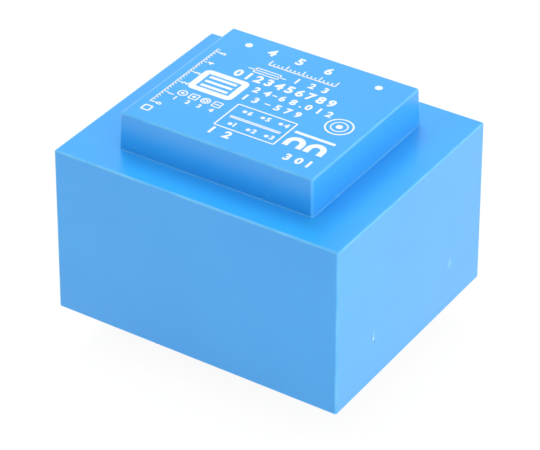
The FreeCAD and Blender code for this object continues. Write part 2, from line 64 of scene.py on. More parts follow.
# the eye's place, in millimetres from the point it aims at: back along the line of sight, right and down
EYE_BACK = 410.2
EYE_RIGHT = -0.123
EYE_DOWN = 3.829
aim = Vector((0.0, 0.0, 17.0)) * MM
back = Vector((
    math.sin(azimuth) * math.cos(elevation),
    -math.cos(azimuth) * math.cos(elevation),
    math.sin(elevation),
))
level = (-back).cross(Vector((0, 0, 1))).normalized()
down = (-back).cross(level)
right = level * math.cos(roll) + down * math.sin(roll)
lower = down * math.cos(roll) - level * math.sin(roll)
eye = aim + (back * EYE_BACK + right * EYE_RIGHT + lower * EYE_DOWN) * MM
camera_data = bpy.data.cameras.new("camera")
camera_data.sensor_width = SENSOR
camera_data.lens = FOCAL_PIXELS / PICTURE_WIDTH * SENSOR
camera_data.clip_start = 0.01
camera_data.clip_end = 20
camera = bpy.data.objects.new("camera", camera_data)
scene.collection.objects.link(camera)
turn = Matrix((right, -lower, back)).transposed().to_4x4()
camera.matrix_world = Matrix.Translation(eye) @ turn
scene.camera = camera


# Light: a white tent that is brightest overhead, a strong soft box low at the right, another high at the
# rear left, and three faint ones for the rear and the edges. Seen directly, or in a reflection, the tent is
# white at its foot and grey overhead.
def step(tree, kind, settings=None, **sockets):
    """One shader node of the given kind. A socket is named by its label, with _ for each blank, or by its
    number after _, and takes a plain value or another node's output."""
    node = tree.nodes.new("ShaderNode" + kind)
    for name, setting in (settings or {}).items():
        setattr(node, name, setting)
    for name, given in sockets.items():
        socket = node.inputs[int(name[1:]) if name.startswith("_") else name.replace("_", " ")]
        if isinstance(given, bpy.types.NodeSocket):
            tree.links.new(given, socket)
        else:
            socket.default_value = given
    return node


def maths(tree, operation, *terms):
    """The output of one Math node: the operation on its terms in order."""
    given = {f"_{i}": term for i, term in enumerate(terms)}
    return step(tree, "Math", {"operation": operation}, **given).outputs[0]


def ramp(tree, value, start, end, first, last, shape="SMOOTHSTEP"):
    """A value that goes from first to last as the given one goes from start to end, and no further."""
    return step(
        tree,
        "MapRange",
        {"interpolation_type": shape},
        Value=value,
        From_Min=start,
        From_Max=end,
        To_Min=first,
        To_Max=last,
    ).outputs["Result"]


def seen_plainly(tree):
    """1 for what the camera sees directly, in a gloss or through glass, and 0 for light that falls on
    things."""
    path = step(tree, "LightPath").outputs
    direct = maths(tree, "MAXIMUM", path["Is Camera Ray"], path["Is Glossy Ray"])
    return maths(tree, "MAXIMUM", direct, path["Is Transmission Ray"])


# the light that falls from the tent, and the whiteness that is seen. Both change between two heights, where
# a direction's height is 0 at the horizon and 1 overhead
SKY_LOW = 0.24
SKY_HIGH = 1.55
SKY_HEIGHTS = (0.5, 0.95)
TENT_FOOT = 1.0
TENT_SHADE = 0.36
TENT_HEIGHTS = (0.1, 0.55)
world = bpy.data.worlds.new("light_tent")
scene.world = world
world.use_nodes = True
tree = world.node_tree
tree.nodes.clear()
direction = step(tree, "TexCoord").outputs["Generated"]
upward = step(tree, "SeparateXYZ", Vector=direction).outputs["Z"]
sky = ramp(tree, upward, *SKY_HEIGHTS, SKY_LOW, SKY_HIGH)
cloth = ramp(tree, upward, *TENT_HEIGHTS, TENT_FOOT, TENT_SHADE)
falling = step(tree, "Background", Strength=sky)
shown = step(tree, "Background", Strength=cloth)
tent = step(tree, "MixShader", _0=seen_plainly(tree), _1=falling.outputs[0], _2=shown.outputs[0])
step(tree, "OutputWorld", Surface=tent.outputs[0])

LAMP_DISTANCE = 0.6
# each soft box: name, direction from the block, width in metres, and watts
SOFT_BOXES = (
    ("side_box", (0.96, -0.26, 0.17), 0.4, 1.62),
    ("top_box", (-0.42, 0.38, 0.82), 0.24, 1.1),
    ("rear_box", (-0.5, 0.8, 0.35), 0.4, 0.19),
    ("front_edge_box", (-0.45, -0.56, 0.7), 0.16, 0.24),
    ("side_edge_box", (0.56, 0.7, 0.45), 0.22, 0.28),
)
for name, place, width, watts in SOFT_BOXES:
    lamp = bpy.data.lights.new(name, "AREA")
    lamp.shape = "DISK"
    lamp.size = width
    lamp.energy = watts
    box = bpy.data.objects.new(name, lamp)
    scene.collection.objects.link(box)
    toward = Vector(place).normalized()
    facing = toward.to_track_quat("Z", "Y").to_matrix().to_4x4()
    box.matrix_world = Matrix.Translation(aim + toward * LAMP_DISTANCE) @ facing
    # the cloth of the tent hides the overhead one, so that no gloss shows it
    box.visible_glossy = name != "top_box"

# Floor: a sheet of white paper under the tips of the pins. To the eye it is almost as white as the tent,
# and it keeps the block's soft shadow. From beneath it is clear, so that the block's underside can be seen.
FLOOR_HALF = 3.0
LIT_WHITE = (0.94, 0.97, 1.0, 1)
SHADOW_SHARE = (0.11, 0.11, 0.11, 1)
OWN_GLOW = 0.93
floor_level = cad_box[0][2]
mesh = bpy.data.meshes.new("floor")
corners = [(-1, -1), (1, -1), (1, 1), (-1, 1)]
points = [(x * FLOOR_HALF, y * FLOOR_HALF, floor_level) for x, y in corners]
mesh.from_pydata(points, [], [(0, 1, 2, 3)])
floor = bpy.data.objects.new("floor", mesh)
scene.collection.objects.link(floor)
paper = bpy.data.materials.new("white_paper")
paper.use_nodes = True
tree = paper.node_tree
tree.nodes.clear()
lit = step(tree, "BsdfDiffuse", Color=LIT_WHITE)
faint = step(tree, "BsdfDiffuse", Color=SHADOW_SHARE)
glow = step(tree, "Emission", Strength=OWN_GLOW)
bright = step(tree, "AddShader", _0=faint.outputs[0], _1=glow.outputs[0])
sheet = step(tree, "MixShader", _0=seen_plainly(tree), _1=lit.outputs[0], _2=bright.outputs[0])
beneath = step(tree, "NewGeometry").outputs["Backfacing"]
clear = step(tree, "BsdfTransparent")
sheet = step(tree, "MixShader", _0=beneath, _1=sheet.outputs[0], _2=clear.outputs[0])
step(tree, "OutputMaterial", Surface=sheet.outputs[0])
mesh.materials.append(paper)


# Core: thin sheets of annealed silicon steel, cut as E and I and stacked by hand, turned end for end in
# every other layer. Each is grey-blue from the furnace, with fine rolling lines and patches of brown.
def new_material(name, **plain):
    """A material with its surface shader, whose plain values are given by the labels of its sockets."""
    material = bpy.data.materials.new(name)
    material.use_nodes = True
    shader = material.node_tree.nodes["Principled BSDF"]
    for label, given in plain.items():
        shader.inputs[label.replace("_", " ")].default_value = given
    return material, material.node_tree, shader


def new_group(name, takes, gives):
    """An empty group of shader nodes. takes maps each input to its kind and first value, gives each output
    to its kind."""
    group = bpy.data.node_groups.new(name, "ShaderNodeTree")
    for label, (kind, first) in takes.items():
        socket = group.interface.new_socket(label, in_out="INPUT", socket_type="NodeSocket" + kind)
        socket.default_value = first
    for label, kind in gives.items():
        group.interface.new_socket(label, in_out="OUTPUT", socket_type="NodeSocket" + kind)
    return group, group.nodes.new("NodeGroupInput").outputs, group.nodes.new("NodeGroupOutput").inputs


# nearly all of the noise lies between these two, and what lies beyond them is cut off
NOISE_LOW = 0.3
NOISE_HIGH = 0.7
DRIFT, taken, given = new_group(
    "drift",
    {
        "Size": ("Float", 0.01),
        "Stretch": ("Vector", (1, 1, 1)),
        "Detail": ("Float", 2.0),
        "Least": ("Float", 0.0),
        "Most": ("Float", 1.0),
    },
    {"Value": "Float"},
)
own = step(DRIFT, "TexCoord").outputs["Object"]
drawn = step(DRIFT, "VectorMath", {"operation": "MULTIPLY"}, _0=own, _1=taken["Stretch"]).outputs[0]
cloud = step(
    DRIFT,
    "TexNoise",
    Vector=drawn,
    Scale=maths(DRIFT, "DIVIDE", 1.0, taken["Size"]),
    Detail=taken["Detail"],
).outputs[0]
spread = ramp(DRIFT, cloud, NOISE_LOW, NOISE_HIGH, taken["Least"], taken["Most"], "LINEAR")
DRIFT.links.new(spread, given["Value"])


def drift(tree, size, least=0.0, most=1.0, detail=2.0, stretch=(1, 1, 1)):
    """A value that wanders between least and most over about size, in metres, drawn out by stretch."""
    placed = {"Size": size, "Least": least, "Most": most, "Detail": detail, "Stretch": stretch}
    return step(tree, "Group", {"node_tree": DRIFT}, **placed).outputs["Value"]


def blend(tree, share, first, second):
    """The colour between first, where share is 0, and second, where it is 1."""
    return step(tree, "Mix", {"data_type": "RGBA"}, _0=share, _6=first, _7=second).outputs[2]


def relief(tree, shader, height, depth):
    """Raises the shader's surface by height times depth, in metres."""
    bump = step(tree, "Bump", Strength=1.0, Distance=depth, Height=height)
    tree.links.new(bump.outputs[0], shader.inputs["Normal"])


FURNACE_BLUE = (0.2, 0.215, 0.25, 1)
FURNACE_BROWN = (0.36, 0.35, 0.34, 1)
ROLLED_DARK = (0.1, 0.1, 0.11, 1)
ROLLED_SHARE = 0.25
steel, tree, shader = new_material("core_steel", Metallic=1.0)
rolled = drift(tree, 0.0006, detail=4.0, stretch=(0.04, 1.0, 0.04))
stain = drift(tree, 0.007, detail=3.0)
scale_colour = blend(tree, stain, FURNACE_BLUE, FURNACE_BROWN)
dark_line = maths(tree, "MULTIPLY", rolled, ROLLED_SHARE)
tree.links.new(blend(tree, dark_line, scale_colour, ROLLED_DARK), shader.inputs["Base Color"])
tree.links.new(drift(tree, 0.003, 0.34, 0.52, detail=3.0), shader.inputs["Roughness"])
relief(tree, shader, rolled, depth=0.004 * MM)


def finish_nodes(material, *names):
    """Gives the named solids of the frame this material."""
    for name in names:
        nodes[name].data.materials.clear()
        nodes[name].data.materials.append(material)


finish_nodes(steel, "e_sheets_back_front", "i_sheets_rear", "e_sheets_back_rear", "i_sheets_front")

# Bobbin: one moulding in natural, glass-filled plastic, with a tube for the core's middle leg, three
# flanges and two rails that hold the pins. The glass shows as fine pale streaks along the flow.
NATURAL_DARK = (0.66, 0.635, 0.56, 1)
NATURAL_PALE = (0.74, 0.72, 0.65, 1)
GLASS_STREAK = (0.86, 0.85, 0.8, 1)
STREAK_SHARE = 0.22
plastic, tree, shader = new_material("bobbin_plastic", Subsurface_Weight=0.06, Subsurface_Scale=1.5 * MM)
flow = drift(tree, 0.0012, detail=5.0, stretch=(0.3, 1.0, 0.3))
tone = blend(tree, drift(tree, 0.009), NATURAL_DARK, NATURAL_PALE)
streak = maths(tree, "MULTIPLY", flow, STREAK_SHARE)
tree.links.new(blend(tree, streak, tone, GLASS_STREAK), shader.inputs["Base Color"])
tree.links.new(drift(tree, 0.004, 0.42, 0.58), shader.inputs["Roughness"])
relief(tree, shader, flow, depth=0.006 * MM)
finish_nodes(plastic, "bobbin")

# Windings: layers of enamelled copper wire, wound side by side round the tube. The surface shows the ridges
# of the turns, a slightly uneven amber varnish, and painted shade, dark brown, in the furrows between the
# turns. The lead-outs are the same kind of wire.
WIRE_PITCH = 0.45
LAY_WANDER = 0.04
AMBER_DARK = (0.52, 0.19, 0.07, 1)
AMBER_PALE = (0.66, 0.3, 0.13, 1)
# the painted shade at the bottom of the furrows between the turns
PAINTED_FURROW_SHADE = (0.12, 0.035, 0.012, 1)
LEAD_DARK = (0.5, 0.18, 0.07, 1)
LEAD_PALE = (0.68, 0.33, 0.15, 1)
WIRED_ROWS = ("primary", "secondary")
SIDES = ("left", "right")


def wire_ridges(tree, pitch):
    """The height, from 0 to 1, of round wires side by side along Y: the size of the sine of half their
    phase. The lay drifts a little, as wound wire does."""
    own = step(tree, "TexCoord").outputs["Object"]
    along = step(tree, "SeparateXYZ", Vector=own).outputs["Y"]
    wander = drift(tree, 0.012, -LAY_WANDER * MM, LAY_WANDER * MM)
    phase = maths(tree, "MULTIPLY", maths(tree, "ADD", along, wander), math.pi / pitch)
    return maths(tree, "ABSOLUTE", maths(tree, "SINE", phase))


copper, tree, shader = new_material("enamelled_copper", Metallic=0.9, Coat_Weight=0.5, Coat_Roughness=0.18)
ridge = wire_ridges(tree, WIRE_PITCH * MM)
varnish = blend(tree, drift(tree, 0.006), AMBER_DARK, AMBER_PALE)
# painted shade: the colour darkens to brown towards the bottom of each furrow, where shade falls
varnish_share = maths(tree, "POWER", ridge, 0.5)
tree.links.new(blend(tree, varnish_share, PAINTED_FURROW_SHADE, varnish), shader.inputs["Base Color"])
tree.links.new(drift(tree, 0.003, 0.29, 0.4), shader.inputs["Roughness"])
relief(tree, shader, ridge, depth=0.12 * MM)
finish_nodes(copper, "primary_winding", "secondary_winding")

lead, tree, shader = new_material("lead_wire", Metallic=0.9, Coat_Weight=0.5, Coat_Roughness=0.18)
soldered = drift(tree, 0.0009, detail=3.0)
varnish = blend(tree, soldered, LEAD_DARK, LEAD_PALE)
tree.links.new(varnish, shader.inputs["Base Color"])
tree.links.new(drift(tree, 0.001, 0.29, 0.42), shader.inputs["Roughness"])
relief(tree, shader, soldered, depth=0.01 * MM)
finish_nodes(lead, *(f"{row}_lead_{side}" for row in WIRED_ROWS for side in SIDES))

# Winding tape: several turns of thin yellow polyester film over each winding, pulled tight. The film shows
# faint cross creases and the edges of its turns.
FILM_YELLOW = (0.83, 0.6, 0.1, 1)
FILM_PALE = (0.9, 0.71, 0.2, 1)
TURN_BROWN = (0.62, 0.38, 0.05, 1)
TURN_SHARE = 0.3
film, tree, shader = new_material("winding_tape", Coat_Weight=0.4, Coat_Roughness=0.12)
turn_line = drift(tree, 0.0011, detail=1.0, stretch=(0.05, 1.0, 0.05))
crease = drift(tree, 0.0016, detail=3.0, stretch=(1.0, 0.12, 1.0))
yellow = blend(tree, drift(tree, 0.005), FILM_YELLOW, FILM_PALE)
shade = maths(tree, "MULTIPLY", turn_line, TURN_SHARE)
tree.links.new(blend(tree, shade, yellow, TURN_BROWN), shader.inputs["Base Color"])
tree.links.new(drift(tree, 0.003, 0.29, 0.42), shader.inputs["Roughness"])
relief(tree, shader, maths(tree, "ADD", crease, turn_line), depth=0.012 * MM)
finish_nodes(film, "primary_tape", "secondary_tape")

# Solder pins: round bronze wire with a satin coat of tin, pressed into the bobbin's rails. They have fine
# draw marks along their length and a duller, slightly stained foot where the resin was poured.
TIN_GREY = (0.58, 0.59, 0.61, 1)
TIN_PALE = (0.74, 0.745, 0.755, 1)
TIN_STAIN = (0.36, 0.34, 0.31, 1)
# the stain begins a little below the board side and is strongest where the resin is
STAIN_HEIGHTS = (-1.6 * MM, 0.9 * MM)
STAIN_MOST = 0.55
PIN_ROWS = WIRED_ROWS + ("holding",)
tin, tree, shader = new_material("tinned_wire", Metallic=1.0)
drawn_line = drift(tree, 0.0004, detail=3.0, stretch=(1.0, 1.0, 0.06))
own = step(tree, "TexCoord").outputs["Object"]
rise = step(tree, "SeparateXYZ", Vector=own).outputs["Z"]
foot = ramp(tree, rise, *STAIN_HEIGHTS, 0.0, STAIN_MOST, "LINEAR")
stained = maths(tree, "MULTIPLY", foot, drift(tree, 0.0011, 0.3, 1.0, detail=3.0))
bright = blend(tree, drawn_line, TIN_GREY, TIN_PALE)
tree.links.new(blend(tree, stained, bright, TIN_STAIN), shader.inputs["Base Color"])
tree.links.new(drift(tree, 0.0016, 0.29, 0.44, detail=3.0), shader.inputs["Roughness"])
relief(tree, shader, drawn_line, depth=0.003 * MM)
finish_nodes(tin, *(f"{row}_pin_{side}" for row in PIN_ROWS for side in SIDES))

# Case: one satin moulding in sky-blue plastic, open at the board side, with leaning walls and a raised
# platform over the coil. The long edges carry a painted highlight, pale blue, and a little wear that dulls
# them. A few small knocks mark the sides, and on the right wall two shallow ones show painted highlights
# and painted shade.
CASE_LENGTH = 51.0
CASE_DEPTH = 43.0
CASE_TOP = 28.7
PLATFORM_LENGTH = 34.5
PLATFORM_DEPTH = 31.0
PLATFORM_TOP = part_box("case")[1][2] / MM
CASE_LEAN = math.tan(math.radians(0.5))
PLATFORM_LEAN = math.tan(math.radians(2.0))
EDGE_REACH = 0.45
PLATFORM_EDGE_REACH = 0.55
# the platform's edges get this share of the body's painted highlight and wear, and a worn edge is this much
# duller
PLATFORM_EDGE_SHARE = 0.7
RUB_DULLS = 0.06
# the platform's edge mask starts this far above the case's top
ROOT_GAP = 0.1
# and each of the two masks ends this far above the top it belongs to
TOP_SLACK = 0.05

NEAR_EDGE, taken, given = new_group(
    "near_edge",
    {
        "Half Length": ("Float", 0.01),
        "Half Depth": ("Float", 0.01),
        "Low": ("Float", 0.0),
        "High": ("Float", 0.01),
        "Lean": ("Float", 0.0),
        "Reach": ("Float", 0.0005),
    },
    {"Mask": "Float"},
)
own = step(NEAR_EDGE, "TexCoord").outputs["Object"]
x, y, z = step(NEAR_EDGE, "SeparateXYZ", Vector=own).outputs
above = maths(NEAR_EDGE, "SUBTRACT", z, taken["Low"])
drawn_in = maths(NEAR_EDGE, "MULTIPLY", above, taken["Lean"])
to_side = []
for half, across in (("Half Length", x), ("Half Depth", y)):
    wall = maths(NEAR_EDGE, "SUBTRACT", taken[half], drawn_in)
    to_side.append(maths(NEAR_EDGE, "SUBTRACT", wall, maths(NEAR_EDGE, "ABSOLUTE", across)))
to_top = maths(NEAR_EDGE, "SUBTRACT", taken["High"], z)
nearer = maths(NEAR_EDGE, "MINIMUM", *to_side)
further = maths(NEAR_EDGE, "MAXIMUM", *to_side)
# the nearest edge is as far away as the second nearest of the block's faces
second = maths(NEAR_EDGE, "MAXIMUM", nearer, maths(NEAR_EDGE, "MINIMUM", further, to_top))
fade = ramp(NEAR_EDGE, second, 0.0, taken["Reach"], 1.0, 0.0)
inside = maths(
    NEAR_EDGE,
    "MULTIPLY",
    maths(NEAR_EDGE, "GREATER_THAN", above, 0.0),
    maths(NEAR_EDGE, "GREATER_THAN", to_top, -TOP_SLACK * MM),
)
NEAR_EDGE.links.new(maths(NEAR_EDGE, "MULTIPLY", fade, inside), given["Mask"])

# a knock is full out to this share of its half sizes. Its ragged edge strays by up to a quarter of a
# millimetre, in a grain of so many cells to the metre
SPOT_CORE = 0.3
EDGE_STRAY = 0.5
EDGE_GRAIN = 1600.0
SPOT, taken, given = new_group(
    "spot",
    {
        "Place": ("Vector", (0, 0, 0)),
        "Reach": ("Vector", (0.001, 0.001, 0.001)),
        "Facing": ("Vector", (1, 0, 0)),
        "Turn": ("Float", 0.0),
    },
    {"Mask": "Float"},
)
own = step(SPOT, "TexCoord").outputs["Object"]
ragged = step(SPOT, "TexNoise", Vector=own, Scale=EDGE_GRAIN, Detail=2.0).outputs["Color"]
ragged = step(SPOT, "VectorMath", {"operation": "SUBTRACT"}, _0=ragged, _1=(0.5, 0.5, 0.5)).outputs[0]
ragged = step(SPOT, "VectorMath", {"operation": "SCALE"}, _0=ragged, Scale=EDGE_STRAY * MM).outputs[0]
moved = step(SPOT, "VectorMath", {"operation": "ADD"}, _0=own, _1=ragged).outputs[0]
moved = step(SPOT, "VectorMath", {"operation": "SUBTRACT"}, _0=moved, _1=taken["Place"]).outputs[0]
turned = step(
    SPOT,
    "VectorRotate",
    {"rotation_type": "AXIS_ANGLE"},
    Vector=moved,
    Axis=taken["Facing"],
    Angle=taken["Turn"],
).outputs[0]
scaled = step(SPOT, "VectorMath", {"operation": "DIVIDE"}, _0=turned, _1=taken["Reach"]).outputs[0]
distance = step(SPOT, "VectorMath", {"operation": "LENGTH"}, _0=scaled).outputs["Value"]
SPOT.links.new(ramp(SPOT, distance, SPOT_CORE, 1.0, 1.0, 0.0), given["Mask"])

# a wall is given by the axis that stands on it
RIGHT_WALL = (1, 0, 0)
FRONT_WALL = (0, 1, 0)
SKY_BLUE = (0.014, 0.4, 0.985, 1)
SKY_BLUE_PALE = (0.02, 0.425, 1.0, 1)
PIGMENT_BLUE = (0.06, 0.5, 1.0, 1)
PIGMENT_SHARE = 0.06
# the painted highlight along the long edges of the body and the platform
EDGE_HIGHLIGHT_BLUE = (0.2, 0.66, 1.0, 1)
# the painted glint in the middle of the first dent on the right wall
PAINTED_GLINT_CYAN = (0.52, 0.92, 1.0, 1)
# the painted highlight round the dents on the right wall, and the colour of the small spots at the
# platform's foot
PALE_BLUE = (0.2, 0.64, 1.0, 1)
# the painted shade on the darker side of the first dent on the right wall
PAINTED_DENT_SHADE = (0.03, 0.27, 0.56, 1)
# each knock: place and half sizes along X, Y and Z, wall, turn in degrees, colour and strength
KNOCKS = (
    # the first six are two shallow dents on the right wall: their pale patches are painted highlights and
    # their dark ones painted shade
    ((25.4, -11.45, 8.3), (1.0, 0.3, 1.15), RIGHT_WALL, 14, PAINTED_DENT_SHADE, 0.6),
    ((25.4, -10.75, 6.85), (1.0, 0.5, 0.6), RIGHT_WALL, 0, PAINTED_DENT_SHADE, 0.35),
    ((25.4, -10.85, 8.2), (1.0, 0.2, 1.1), RIGHT_WALL, 16, PALE_BLUE, 0.75),
    ((25.4, -11.0, 7.5), (1.0, 0.33, 0.5), RIGHT_WALL, 0, PAINTED_GLINT_CYAN, 1.0),
    ((25.4, 11.85, 7.9), (1.0, 0.85, 1.5), RIGHT_WALL, 0, PALE_BLUE, 0.3),
    ((25.4, 11.9, 7.8), (1.0, 0.5, 0.9), RIGHT_WALL, 0, PALE_BLUE, 0.4),
    ((-14.3, -15.46, 29.9), (0.3, 1.0, 0.22), FRONT_WALL, 0, PALE_BLUE, 0.6),
    ((9.5, -15.46, 29.9), (0.22, 1.0, 0.3), FRONT_WALL, 0, PALE_BLUE, 0.5),
    ((17.22, -1.7, 29.3), (1.0, 0.25, 0.18), RIGHT_WALL, 0, PALE_BLUE, 0.5),
    ((17.22, 8.6, 29.3), (1.0, 0.25, 0.18), RIGHT_WALL, 0, PALE_BLUE, 0.5),
)

blue, tree, shader = new_material("blue_moulding", IOR=1.58, Coat_Weight=0.6, Coat_Roughness=0.3)
tone = blend(tree, drift(tree, 0.016), SKY_BLUE, SKY_BLUE_PALE)
pigment = maths(tree, "MULTIPLY", drift(tree, 0.0007, detail=4.0), PIGMENT_SHARE)
tone = blend(tree, pigment, tone, PIGMENT_BLUE)


def near_edge(tree, length, depth, low, high, lean, reach):
    """The mask of a block's top and upright edges, from sizes in millimetres."""
    sizes = {"Half Length": length / 2, "Half Depth": depth / 2, "Low": low, "High": high, "Reach": reach}
    placed = {label: size * MM for label, size in sizes.items()}
    return step(tree, "Group", {"node_tree": NEAR_EDGE}, Lean=lean, **placed).outputs["Mask"]


body_edge = near_edge(tree, CASE_LENGTH, CASE_DEPTH, 0.0, CASE_TOP, CASE_LEAN, EDGE_REACH)
platform_edge = near_edge(
    tree,
    PLATFORM_LENGTH,
    PLATFORM_DEPTH,
    CASE_TOP + ROOT_GAP,
    PLATFORM_TOP,
    PLATFORM_LEAN,
    PLATFORM_EDGE_REACH,
)
# the edges' mask: painted highlight in the colour, and wear that dulls the surface in the roughness
highlight_and_wear = maths(tree, "MAXIMUM", body_edge, maths(tree, "MULTIPLY", platform_edge, PLATFORM_EDGE_SHARE))
highlight_and_wear = maths(tree, "MULTIPLY", highlight_and_wear, drift(tree, 0.004, 0.45, 1.0, detail=3.0))
tone = blend(tree, highlight_and_wear, tone, EDGE_HIGHLIGHT_BLUE)
dent = None
for place, reach, wall, degrees, colour, strength in KNOCKS:
    spot = step(
        tree,
        "Group",
        {"node_tree": SPOT},
        Place=[v * MM for v in place],
        Reach=[v * MM for v in reach],
        Facing=wall,
        Turn=math.radians(degrees),
    ).outputs["Mask"]
    # each knock's colour is blended in, which on the right wall's dents is painted highlight or painted
    # shade
    tone = blend(tree, maths(tree, "MULTIPLY", spot, strength), tone, colour)
    dent = spot if dent is None else maths(tree, "MAXIMUM", dent, spot)
tree.links.new(tone, shader.inputs["Base Color"])
gloss = drift(tree, 0.005, 0.29, 0.35, detail=3.0)
gloss = maths(tree, "ADD", gloss, maths(tree, "MULTIPLY", highlight_and_wear, RUB_DULLS))
tree.links.new(gloss, shader.inputs["Roughness"])
# heights in millimetres: the mould's fine peel, the slow sink of its walls, and the knocks
PEEL_HEIGHT = 0.0012
SINK_HEIGHT = 0.012
DENT_DEPTH = 0.03
peel = drift(tree, 0.0009, 0.0, PEEL_HEIGHT)
sink = drift(tree, 0.013, 0.0, SINK_HEIGHT, detail=1.0)
skin = maths(tree, "SUBTRACT", maths(tree, "ADD", peel, sink), maths(tree, "MULTIPLY", dent, DENT_DEPTH))
relief(tree, shader, skin, depth=MM)
finish_nodes(blue, "case")

# Potting: resin poured in from the board side, so the block's underside is a slightly uneven, dull
# blue-grey surface. It creeps up the case's wall and the pins before it sets.
RESIN_DARK = (0.085, 0.15, 0.25, 1)
RESIN_PALE = (0.13, 0.215, 0.34, 1)
FILLER_GREY = (0.24, 0.32, 0.43, 1)
FILLER_SHARE = 0.18
resin, tree, shader = new_material("cast_resin", IOR=1.55, Coat_Weight=0.25, Coat_Roughness=0.3)
tone = blend(tree, drift(tree, 0.008, detail=4.0), RESIN_DARK, RESIN_PALE)
filler = maths(tree, "MULTIPLY", drift(tree, 0.0005, detail=4.0), FILLER_SHARE)
tree.links.new(blend(tree, filler, tone, FILLER_GREY), shader.inputs["Base Color"])
tree.links.new(drift(tree, 0.004, 0.3, 0.5, detail=3.0), shader.inputs["Roughness"])
# heights in millimetres: the resin's slow swell and its fine grain
SWELL_HEIGHT = 0.05
GRAIN_HEIGHT = 0.004
swell = drift(tree, 0.009, 0.0, SWELL_HEIGHT)
grain = drift(tree, 0.0012, 0.0, GRAIN_HEIGHT, detail=3.0)
relief(tree, shader, maths(tree, "ADD", swell, grain), depth=MM)
finish_nodes(resin, "potting_resin")


def rounded_outline(half_x, half_y, radius, steps):
    """Points round a rectangle with rounded corners, anticlockwise: each corner's centre plus the radius
    times (cos, sin) over its quarter turn. The three sizes may be arrays, which adds a second axis."""
    quarter = np.linspace(0.0, math.pi / 2, steps)
    angle = np.concatenate([quarter + k * math.pi / 2 for k in range(4)])
    sign_x = np.repeat([1, -1, -1, 1], steps)
    sign_y = np.repeat([1, 1, -1, -1], steps)
    half_x, half_y, radius = np.atleast_1d(half_x), np.atleast_1d(half_y), np.atleast_1d(radius)
    x = sign_x[:, None] * (half_x - radius) + np.cos(angle)[:, None] * radius
    y = sign_y[:, None] * (half_y - radius) + np.sin(angle)[:, None] * radius
    return x, y


def ring_faces(around, across, closed=True):
    """The faces of a grid whose second axis closes on itself, and whose first one may."""
    i = np.arange(around if closed else around - 1)[:, None]
    j = np.arange(across)[None, :]
    far = (i + 1) % around
    nxt = (j + 1) % across
    faces = (i * across + j, far * across + j, far * across + nxt, i * across + nxt)
    return np.stack(np.broadcast_arrays(*faces), axis=-1).reshape(-1, 4)


def add_piece(name, points, faces, material):
    """A piece from points in millimetres and faces, with its faces turned outwards, that rides on the
    root."""
    mesh = bpy.data.meshes.new(name)
    mesh.from_pydata(points * MM, [], [list(map(int, face)) for face in faces])
    mesh.materials.append(material)
    piece = bpy.data.objects.new(name, mesh)
    scene.collection.objects.link(piece)
    mesh.validate()
    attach(piece, "root")
    return piece


RESIN_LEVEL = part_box("potting_resin")[0][2] / MM
# half the length and half the depth of the case's inside, and its corners' radius
WALL_X = 24.35
WALL_Y = 20.35
WALL_RADIUS = 0.4
CREEP_WIDTH = 0.7
CREEP_DROP = 0.5
CREEP_STEPS = 9
CORNER_STEPS = 7
# the creep's back lies this deep in the wall and in the resin
SUNK = 0.03
away = np.linspace(0.0, CREEP_WIDTH, CREEP_STEPS)
# the drop below the resin falls off with the square of the distance from what it creeps along
creep_away = np.concatenate([away, [CREEP_WIDTH, -SUNK]])
creep_level = RESIN_LEVEL - np.concatenate([CREEP_DROP * (1 - away / CREEP_WIDTH) ** 2, [-SUNK, -SUNK]])
x, y = rounded_outline(WALL_X - creep_away, WALL_Y - creep_away, WALL_RADIUS + creep_away, CORNER_STEPS)
points = np.stack([x, y, np.broadcast_to(creep_level, x.shape)], axis=-1).reshape(-1, 3)
edge = add_piece("resin_edge", points, ring_faces(4 * CORNER_STEPS, len(creep_away)), resin)

# a collar is as wide and as high as this share of the creep along the wall
PIN_RADIUS = 0.4
COLLAR_SHARE = 0.8
COLLAR_STEPS = 32
for row in PIN_ROWS:
    for side in SIDES:
        low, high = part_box(f"{row}_pin_{side}")
        middle = (low + high) / 2 / MM
        angle = np.linspace(0.0, 2 * math.pi, COLLAR_STEPS, endpoint=False)[:, None]
        radius = PIN_RADIUS + creep_away * COLLAR_SHARE
        height = RESIN_LEVEL - (RESIN_LEVEL - creep_level) * COLLAR_SHARE
        x = middle[0] + np.cos(angle) * radius
        y = middle[1] + np.sin(angle) * radius
        points = np.stack([x, y, np.broadcast_to(height, x.shape)], axis=-1).reshape(-1, 3)
        faces = ring_faces(COLLAR_STEPS, len(creep_away))[:, ::-1]
        collar = add_piece(f"resin_collar_{row}_{side}", points, faces, resin)

# Print: white ink pressed on the platform's top, two hundredths of a millimetre thick. It holds plain
# numbers, rules, frames, rings, dots and arches, and it is a little thin in places.
INK_SUNK = 0.012
INK_RISE = 0.022
INK_LOW = PLATFORM_TOP - INK_SUNK
INK_HIGH = PLATFORM_TOP + INK_RISE
FULL_WHITE = (0.97, 0.98, 0.99, 1)
THIN_WHITE = (0.55, 0.8, 0.98, 1)
THIN_MOST = 0.4
ink, tree, shader = new_material("white_ink", IOR=1.45)
thin = drift(tree, 0.00035, detail=4.0)
patch = drift(tree, 0.004)
worn = maths(tree, "MULTIPLY", maths(tree, "MULTIPLY", thin, patch), THIN_MOST)
tree.links.new(blend(tree, worn, FULL_WHITE, THIN_WHITE), shader.inputs["Base Color"])
tree.links.new(drift(tree, 0.001, 0.4, 0.55, detail=3.0), shader.inputs["Roughness"])
relief(tree, shader, thin, depth=0.004 * MM)

# a bend's corner is cut short where its two runs agree less than this
LEAST_AGREED = 0.3
# the strokes of the type are thickened by this share of its own size
TYPE_WEIGHT = 0.04
FRAME_RADIUS = 0.15
DOT_POINTS = 24
RING_POINTS = 40
WELD_WITHIN = 0.0005


